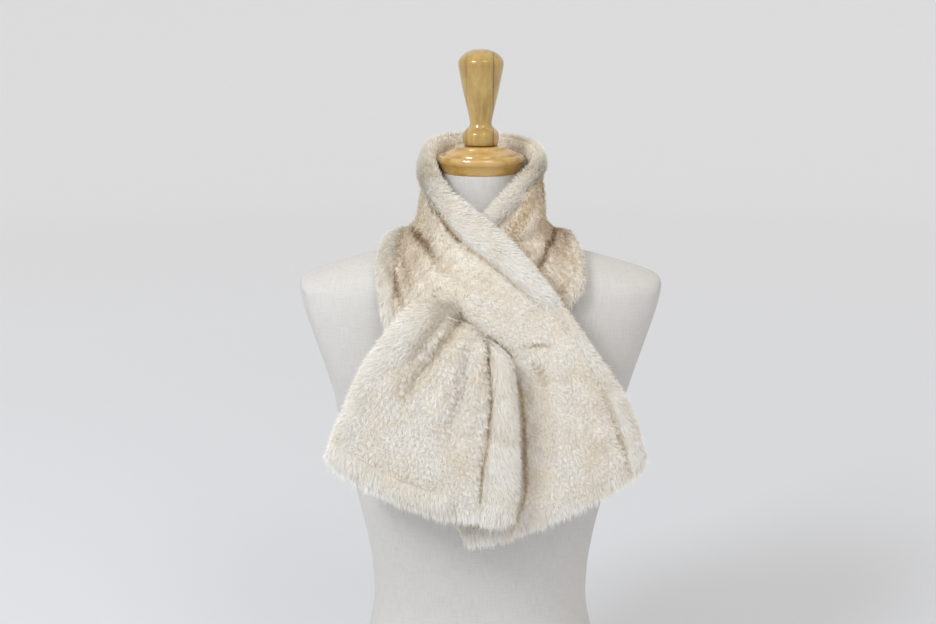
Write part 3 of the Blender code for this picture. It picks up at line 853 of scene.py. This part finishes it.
TUFT_ALONG = 6.6     # spacing of the knit's tufts
TUFT_ACROSS = 5.8
TUFT_REACH = 0.62    # how far a tuft reaches, in spacings
TUFT_TURN = 1.1 * math.pi  # range of the ways that tufts lie
TUFT_SHORTER = 0.30  # share of its length that hair loses at a tuft's edge
OPEN_FROM = 0.25     # openness from which the loops are wider, by OPEN_PITCH
OPEN_PITCH = 1.25
OPEN_SHORTER = 0.52  # share of its length that hair loses in open knit
# A tuft's height, how deep the gaps lie and how far hair draws to its middle: plain, and added to
# that where the knit is pulled open
TUFT_HEIGHT = (1.3, 1.9)
TUFT_GAP = (0.3, 0.8)
TUFT_DRAW = (0.07, 0.15)

BORDER_AHEAD = ((1.5, 4.0), (0.3, 0.8))  # how far the borders' hair lies along the band, by row
EDGE_WIDTH = 27.0    # hair leans outwards and gets shorter over this distance from an edge
EDGE_SHORTER = 0.4
HEM_REACH = 12.0     # hair rooted this near the end hangs over it
HEM_STRIP = 31.0     # and a border's hair rooted this near it lies towards it

# Tones of the map: the base, what a tuft's chance adds and what a clump's does
KNIT_LIGHT = (0.81, 0.085, 0.035)
BORDER_LIGHT = (0.68, 0.07, 0.12)
TUFT_EDGE_PAINTED_SHADE = 0.12     # painted shade: how much darker a tuft's edge is
GAP_ROOTS_AND_SHADE = 1.1       # and the gap between the loops of an open knit, its browner roots and painted shade
GAP_CLOTH_SHARE = 0.7      # share of that on the cloth between them
SEAM_PAINTED_SHADE = 0.12     # painted shade in a seam's groove, for each millimetre of its depth
INNER_PAINTED_LIGHT = 0.15   # painted light: how much lighter the inner side is, where it lies in shade
LIGHT_SPREAD = 0.035
DARKEST = 0.02


def lattice(s, t, along_pitch, across_pitch):
    """The nearest point of a staggered lattice: its row and column, and the way to it."""
    row = np.round(s / along_pitch)
    shift = 0.5 * (row % 2)
    column = np.round(t / across_pitch - shift)
    return Lattice(
        row.astype(int) % TABLE,
        column.astype(int) % TABLE,
        row * along_pitch - s,
        (column + shift) * across_pitch - t,
    )


def find_tufts(s, t, opened):
    """The tuft that each place is in, and how far off its middle the place is, from 0 to 1."""
    warped_s = s + 2.2 * np.sin(t / 13.0 + 1.0) + 1.2 * np.sin(t / 5.1 + s / 17.0)
    warped_t = t + 2.0 * np.sin(s / 15.0) + 1.2 * np.sin(s / 6.3 + t / 19.0)
    wider = np.where(opened > OPEN_FROM, OPEN_PITCH, 1.0)
    tuft = lattice(warped_s, warped_t, TUFT_ALONG * wider, TUFT_ACROSS * wider)
    off_centre = np.hypot(tuft.to_s / TUFT_ALONG, tuft.to_t / TUFT_ACROSS) / (TUFT_REACH * wider)
    return tuft, np.clip(off_centre, 0.0, 1.0)


def find_clumps(s, t, pitch):
    """The small clump of strands that each place is in."""
    warped_s, warped_t = s + 0.9 * np.sin(t / 2.3), t + 0.9 * np.sin(s / 2.9)
    return lattice(warped_s, warped_t, pitch, CLUMP_NARROW * pitch)


def scatter(cloth, weights, count, rng):
    """Places all over the cloth's quads, in shares of their areas and weights."""
    a, b, c, d = (cloth.points[cloth.quads[:, k]] for k in range(4))
    area = 0.5 * np.linalg.norm(np.cross(c - a, d - b), axis=1)
    sums = np.cumsum(area * weights)
    quad = np.searchsorted(sums, rng.random(count) * sums[-1])
    x, y = rng.random((2, count))
    corner = cloth.quads[quad]
    shares = np.stack([(1 - x) * (1 - y), x * (1 - y), x * y, (1 - x) * y], axis=1)
    return lambda values: np.einsum("nk,nk...->n...", shares, values[corner])


def ribbons(root, first, tip, half, outwards):
    """Strands as ribbons of five points and three triangles, which narrow from root to tip."""
    points = np.stack([root + half, root - half, first + 0.8 * half, first - 0.8 * half, tip], axis=1)
    pattern = np.array([[0, 1, 3], [0, 3, 2], [2, 3, 4]])
    base = 5 * np.arange(len(root))[:, None, None]
    triangles = base + np.where(outwards[:, None, None], pattern, pattern[:, ::-1])
    return points.reshape(-1, 3), triangles.reshape(-1, 3)


def grow(band, cloth, normals, weights, count, rng, knit):
    """Strands of hair at places on a cloth: vertices, triangles and map."""
    pick = scatter(cloth, weights, count, rng)
    root, normal = pick(cloth.points), unit(pick(normals))
    u, v, side = pick(cloth.u), pick(cloth.v), pick(cloth.side)
    along, across = unit(pick(cloth.along)), unit(pick(cloth.across))
    width, from_end = band.width(u), band.from_end(u, v)
    s, t = band.length(u), (v - 0.5) * width
    near_edge = np.clip(1.0 - np.minimum(v, 1 - v) * width / EDGE_WIDTH, 0.0, 1.0)
    outward = np.where(v < 0.5, -1.0, 1.0)

    inner = side < 0
    hem, strip = (from_end < HEM_REACH) & ~inner, from_end < HEM_STRIP
    kinds = np.array([KNIT_HAIR if knit else BORDER_HAIR, HEM_HAIR, INNER_HAIR])
    kind = np.where(inner, 2, np.where(hem, 1, 0))
    length, breadth, rise, loose, clumped, pitch = kinds[kind].T
    tables = rng.random((3, TABLE, TABLE))
    opened = band.openness(u, v)
    tuft, off_centre = find_tufts(s, t, opened)
    turn = (tables[0, tuft.row, tuft.column] - 0.5) * TUFT_TURN
    tuft_tone = tables[1, tuft.row, tuft.column]
    clump = find_clumps(s, t, pitch)
    clump_tone = tables[2, clump.row, clump.column]

    if knit:
        ahead = np.where(hem, 1.0, 0.55 + 0.5 * np.cos(turn))
        aside = np.where(hem, 0.4 * outward * near_edge ** 2, 0.6 * np.sin(turn))
    else:
        ahead = np.where(strip, 1.0, np.interp(u, *BORDER_AHEAD))
        aside = outward * np.where(strip, 0.4 * near_edge ** 2, 0.35 + 0.3 * near_edge)
    wobble = rng.normal(0.0, 1.0, (2, count)) * loose
    lean = (ahead + wobble[0])[:, None] * along + (aside + wobble[1])[:, None] * across
    into = np.minimum(np.sum(lean * normal, axis=1, keepdims=True), 0.0)
    lean = unit(lean - normal * into)
    rise = np.radians(np.clip(rise + rng.normal(0.0, RISE_SPREAD, count), *RISES))
    length = length * rng.uniform(*LENGTHS, count)
    on_hem, beside = 0.80 + 0.36 * clump_tone, 1.0 - EDGE_SHORTER * near_edge ** 3
    length = length * np.where(hem, on_hem, beside)
    length = np.where(rng.random(count) < STRAY_SHARE, STRAY_LENGTH * length, length)
    if knit:
        length = length * (1.0 - TUFT_SHORTER * off_centre ** 2) * (1.0 - OPEN_SHORTER * opened)
        tuft_shape = (TUFT_HEIGHT, TUFT_GAP, TUFT_DRAW)
        height, gap, draw = (plain + added * opened for plain, added in tuft_shape)
        mound = np.where(hem, 0.0, height * (1.0 - off_centre ** 2) - gap)
        middle = tuft.to_s[:, None] * along + tuft.to_t[:, None] * across
        root = root + normal * mound[:, None] + np.where(hem, 0.0, draw)[:, None] * middle

    gather = clump.to_s[:, None] * along + clump.to_t[:, None] * across
    flat, up = np.cos(rise)[:, None], np.sin(rise)[:, None]
    first = root + 0.5 * length[:, None] * (lean * flat * 0.85 + normal * up * 1.25)
    tip = root + length[:, None] * (lean * flat + normal * up * 0.95)
    first = first + gather * (0.4 * clumped)[:, None]
    tip = tip + gather * clumped[:, None]
    direction = unit(tip - root)
    flank = unit(np.cross(direction, normal) + rng.normal(0.0, TWIST, (count, 3)))
    outwards = np.sum(np.cross(direction, flank) * normal, axis=1) > 0
    vertices, triangles = ribbons(root, first, tip, 0.5 * breadth[:, None] * flank, outwards)

    # the map's tone: the knit's own tones by tuft and clump, the browner and partly painted-shade knit
    # round the neck, painted shade at tufts' edges, in gaps, folds, lips and seams, and painted light
    # on the inner side
    base, by_tuft, by_clump = KNIT_LIGHT if knit else BORDER_LIGHT
    light = base + by_tuft * tuft_tone + by_clump * clump_tone
    if knit:
        gaps = opened * np.clip(4.0 * off_centre - 1.9, 0.0, 1.0)
        light = light - TUFT_EDGE_PAINTED_SHADE * off_centre ** 2 - GAP_ROOTS_AND_SHADE * gaps - band.shade(u, v)
    light = np.where(inner, light + INNER_PAINTED_LIGHT, light)
    light = light - band.crease(u, v)[1] - SEAM_PAINTED_SHADE * band.trim(u, v)[2]
    light = np.clip(light + rng.normal(0.0, LIGHT_SPREAD, count), DARKEST, 1.0)
    ends = np.array([0.0, 0.0, 0.55, 0.55, 1.0])
    return vertices, triangles, np.stack([np.repeat(light, 5), np.tile(ends, count)], axis=1)


def seen_share(stretch, u, places):
    """Fewer strands where another stretch of the scarf hides them."""
    share = np.ones_like(u)
    if stretch.name in HIDDEN:
        patch = HIDDEN[stretch.name]
        x, _, z = places.T
        under = (u > patch.row_from) & (u < patch.row_to) & (x < patch.x_to)
        share[under & (z > patch.z_from) & (z < patch.z_to)] = patch.share
    return share


def hair_weights(stretch, band, cloth):
    """How densely hair grows on each quad: the knit's, the borders' and the inner side's."""
    u, v, side = (values[cloth.quads].mean(axis=1) for values in (cloth.u, cloth.v, cloth.side))
    outside = side > -0.5
    sleek = band.trim(u, v)[0]
    outer = np.where(outside, 1.0, 0.0) * ~cloth.joined
    outer = outer * seen_share(stretch, u, cloth.points[cloth.quads].mean(axis=1))
    from_edge = np.minimum(np.minimum(v, 1 - v) * band.width(u), band.from_end(u, v))
    inner = np.where(outside, 0.0, INNER_SPARSE + (1 - INNER_SPARSE) * (from_edge < INNER_EDGE))
    return outer * (1 - sleek), outer * sleek, inner


def root_tones(band, cloth):
    """The cloth's map: its first number is a tone, darker with painted shade in folds, at the slit's
    lips and in the open knit, where browner roots show too.
    """
    bare = 1.0 - band.crease(cloth.u, cloth.v)[1]
    bare = bare - GAP_CLOTH_SHARE * GAP_ROOTS_AND_SHADE * band.openness(cloth.u, cloth.v)
    return np.stack([np.where(cloth.side > 0, np.clip(bare, DARKEST, 1.0), 1.0), cloth.v], axis=1)


def make_stretch(order, stretch, band, underfur, knit_hair, border_hair):
    """One stretch of the scarf: its cloth, and on it the hair of the knit, borders and inner side."""
    cloth = make_cloth(stretch, band)
    normals = vertex_normals(cloth.points, cloth.quads[~cloth.joined])
    tones = root_tones(band, cloth)
    piece = add_mesh(stretch.name + "_cloth", to_metres(cloth.points), cloth.quads, underfur, tones)
    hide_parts(*stretch.nodes)

    on_knit, on_borders, on_inside = hair_weights(stretch, band, cloth)
    growths = [
        ("_knit_hair", on_knit, stretch.knit_hair, knit_hair, "knitted_fur"),
        ("_border_hair", on_borders, stretch.border_hair, border_hair, "fur_border"),
        ("_inner_hair", on_inside, stretch.inner_hair, border_hair, "fur_border"),
    ]
    for number, (kind, weights, count, material, slot) in enumerate(growths):
        rng = np.random.default_rng(10 * (number + 1) + order)
        knit = kind == "_knit_hair"
        vertices, triangles, uvs = grow(band, cloth, normals, weights, count, rng, knit)
        hair = add_hair_mesh(stretch.name + kind, to_metres(vertices), triangles, material, uvs)

    end = band.last if stretch.end is None else stretch.end
    flat_length = float(band.length(end) - band.length(stretch.start)) * MM
    flat_width = float(band.width(np.linspace(stretch.start, end, 60)).mean()) * MM


def make_scarf():
    bands = {
        "left": Band(LEFT_BAND, RIGHT_BAND[1], LEFT_CREASES, LEFT_TRIMS, -1, True),
        "right": Band(RIGHT_BAND, LEFT_BAND[1], RIGHT_CREASES, RIGHT_TRIMS, 1, False),
    }
    underfur = cloth_material("underfur", (0.80, 0.72, 0.60), (0.92, 0.87, 0.79))
    root = (0.89, 0.83, 0.74)
    knit_hair = hair_material(
        "knit_hair", root, (0.975, 0.963, 0.94), (0.99, 0.985, 0.972), (0.945, 0.907, 0.848))
    border_hair = hair_material(
        "border_hair", root, (0.965, 0.943, 0.905), (0.985, 0.975, 0.955), (0.965, 0.945, 0.905))
    for order, stretch in enumerate(STRETCHES):
        make_stretch(order, stretch, bands[stretch.band], underfur, knit_hair, border_hair)


# Camera, light and floor

def make_camera():
    camera = add_object("camera", bpy.data.cameras.new("camera"))
    camera.data.lens = LENS
    camera.data.sensor_width = SENSOR
    down = math.radians(CAMERA_DOWN)
    back = Vector((0.0, -math.cos(down), math.sin(down)))
    camera.location = Vector(CAMERA_TARGET) + back * CAMERA_AWAY
    camera.rotation_euler = (-back).to_track_quat("-Z", "Y").to_euler()
    bpy.context.scene.camera = camera


def area_light(name, place, target, size, power, colour):
    light = bpy.data.lights.new(name, "AREA")
    light.shape = "SQUARE"
    light.size = size
    light.energy = power
    light.color = colour
    lamp = add_object(name, light)
    lamp.location = place
    lamp.rotation_euler = (Vector(target) - Vector(place)).to_track_quat("-Z", "Y").to_euler()


def make_floor():
    """A pale round floor with a rim that curves up, darker and bluer in the middle: painted shade near
    the lamps and painted light towards the rim, evening out their fall-off.
    """
    angle = np.linspace(0, 0.5 * math.pi, FLOOR_STEPS + 1)
    radius = FLOOR_RADIUS * (FLOOR_FLAT + (1 - FLOOR_FLAT) * np.sin(angle))
    profile = np.stack([radius, FLOOR_RISE * (1 - np.cos(angle))], axis=1)
    rings, index, faces = turned_rings(profile, FLOOR_TURNS)
    vertices = np.concatenate([*rings, [(0.0, 0.0, 0.0)]]).tolist()
    mesh = bpy.data.meshes.new("floor")
    mesh.from_pydata(vertices, [], faces + fan(index.size, index[0]))
    n = Nodes("floor")
    n.set(Roughness=0.9, Specular_IOR_Level=0.1)
    away = n.put("ShaderNodeVectorMath", {0: n.place()}, operation="LENGTH").outputs["Value"]
    # painted shade in the middle and painted light towards the rim, evening out the lamps' fall-off
    stops = [(0.08, (0.71, 0.735, 0.78)), (0.37, (0.83, 0.86, 0.915)), (0.65, (0.90, 0.925, 0.97))]
    mesh.materials.append(n.finish(n.ramp(n.math("DIVIDE", away, FLOOR_RADIUS), stops)))
    mesh.shade_smooth()
    floor = add_object("floor", mesh)


def make_light():
    """A warm even world, and two cooler lamps from the front."""
    world = bpy.data.worlds.new("world")
    world.use_nodes = True
    background = world.node_tree.nodes["Background"]
    background.inputs["Color"].default_value = (1.0, 0.95, 0.885, 1.0)
    background.inputs["Strength"].default_value = 0.76
    bpy.context.scene.world = world
    bpy.context.scene.view_settings.view_transform = "Standard"
    area_light("key", (-1.4, -1.5, 2.2), CHEST, 0.7, 35.0, (0.89, 0.955, 1.0))
    area_light("fill", (0.7, -1.7, 2.3), CHEST, 0.8, 9.0, (0.97, 0.98, 1.0))


make_camera()
make_form()
make_turned(
    "wood_cap", CAP_PROFILE,
    wood_material("cap_wood", (0.62, 0.41, 0.15), (0.53, 0.32, 0.09), (0.40, 0.21, 0.04), "x"),
    "neck_cap",
)
make_turned(
    "wood_knob", KNOB_PROFILE,
    wood_material(
        "knob_wood", (0.52, 0.35, 0.105), (0.43, 0.275, 0.07), (0.32, 0.19, 0.04), "z",
        KNOB_STREAKS,
    ),
    "neck_knob",
)
make_scarf()
make_floor()
make_light()
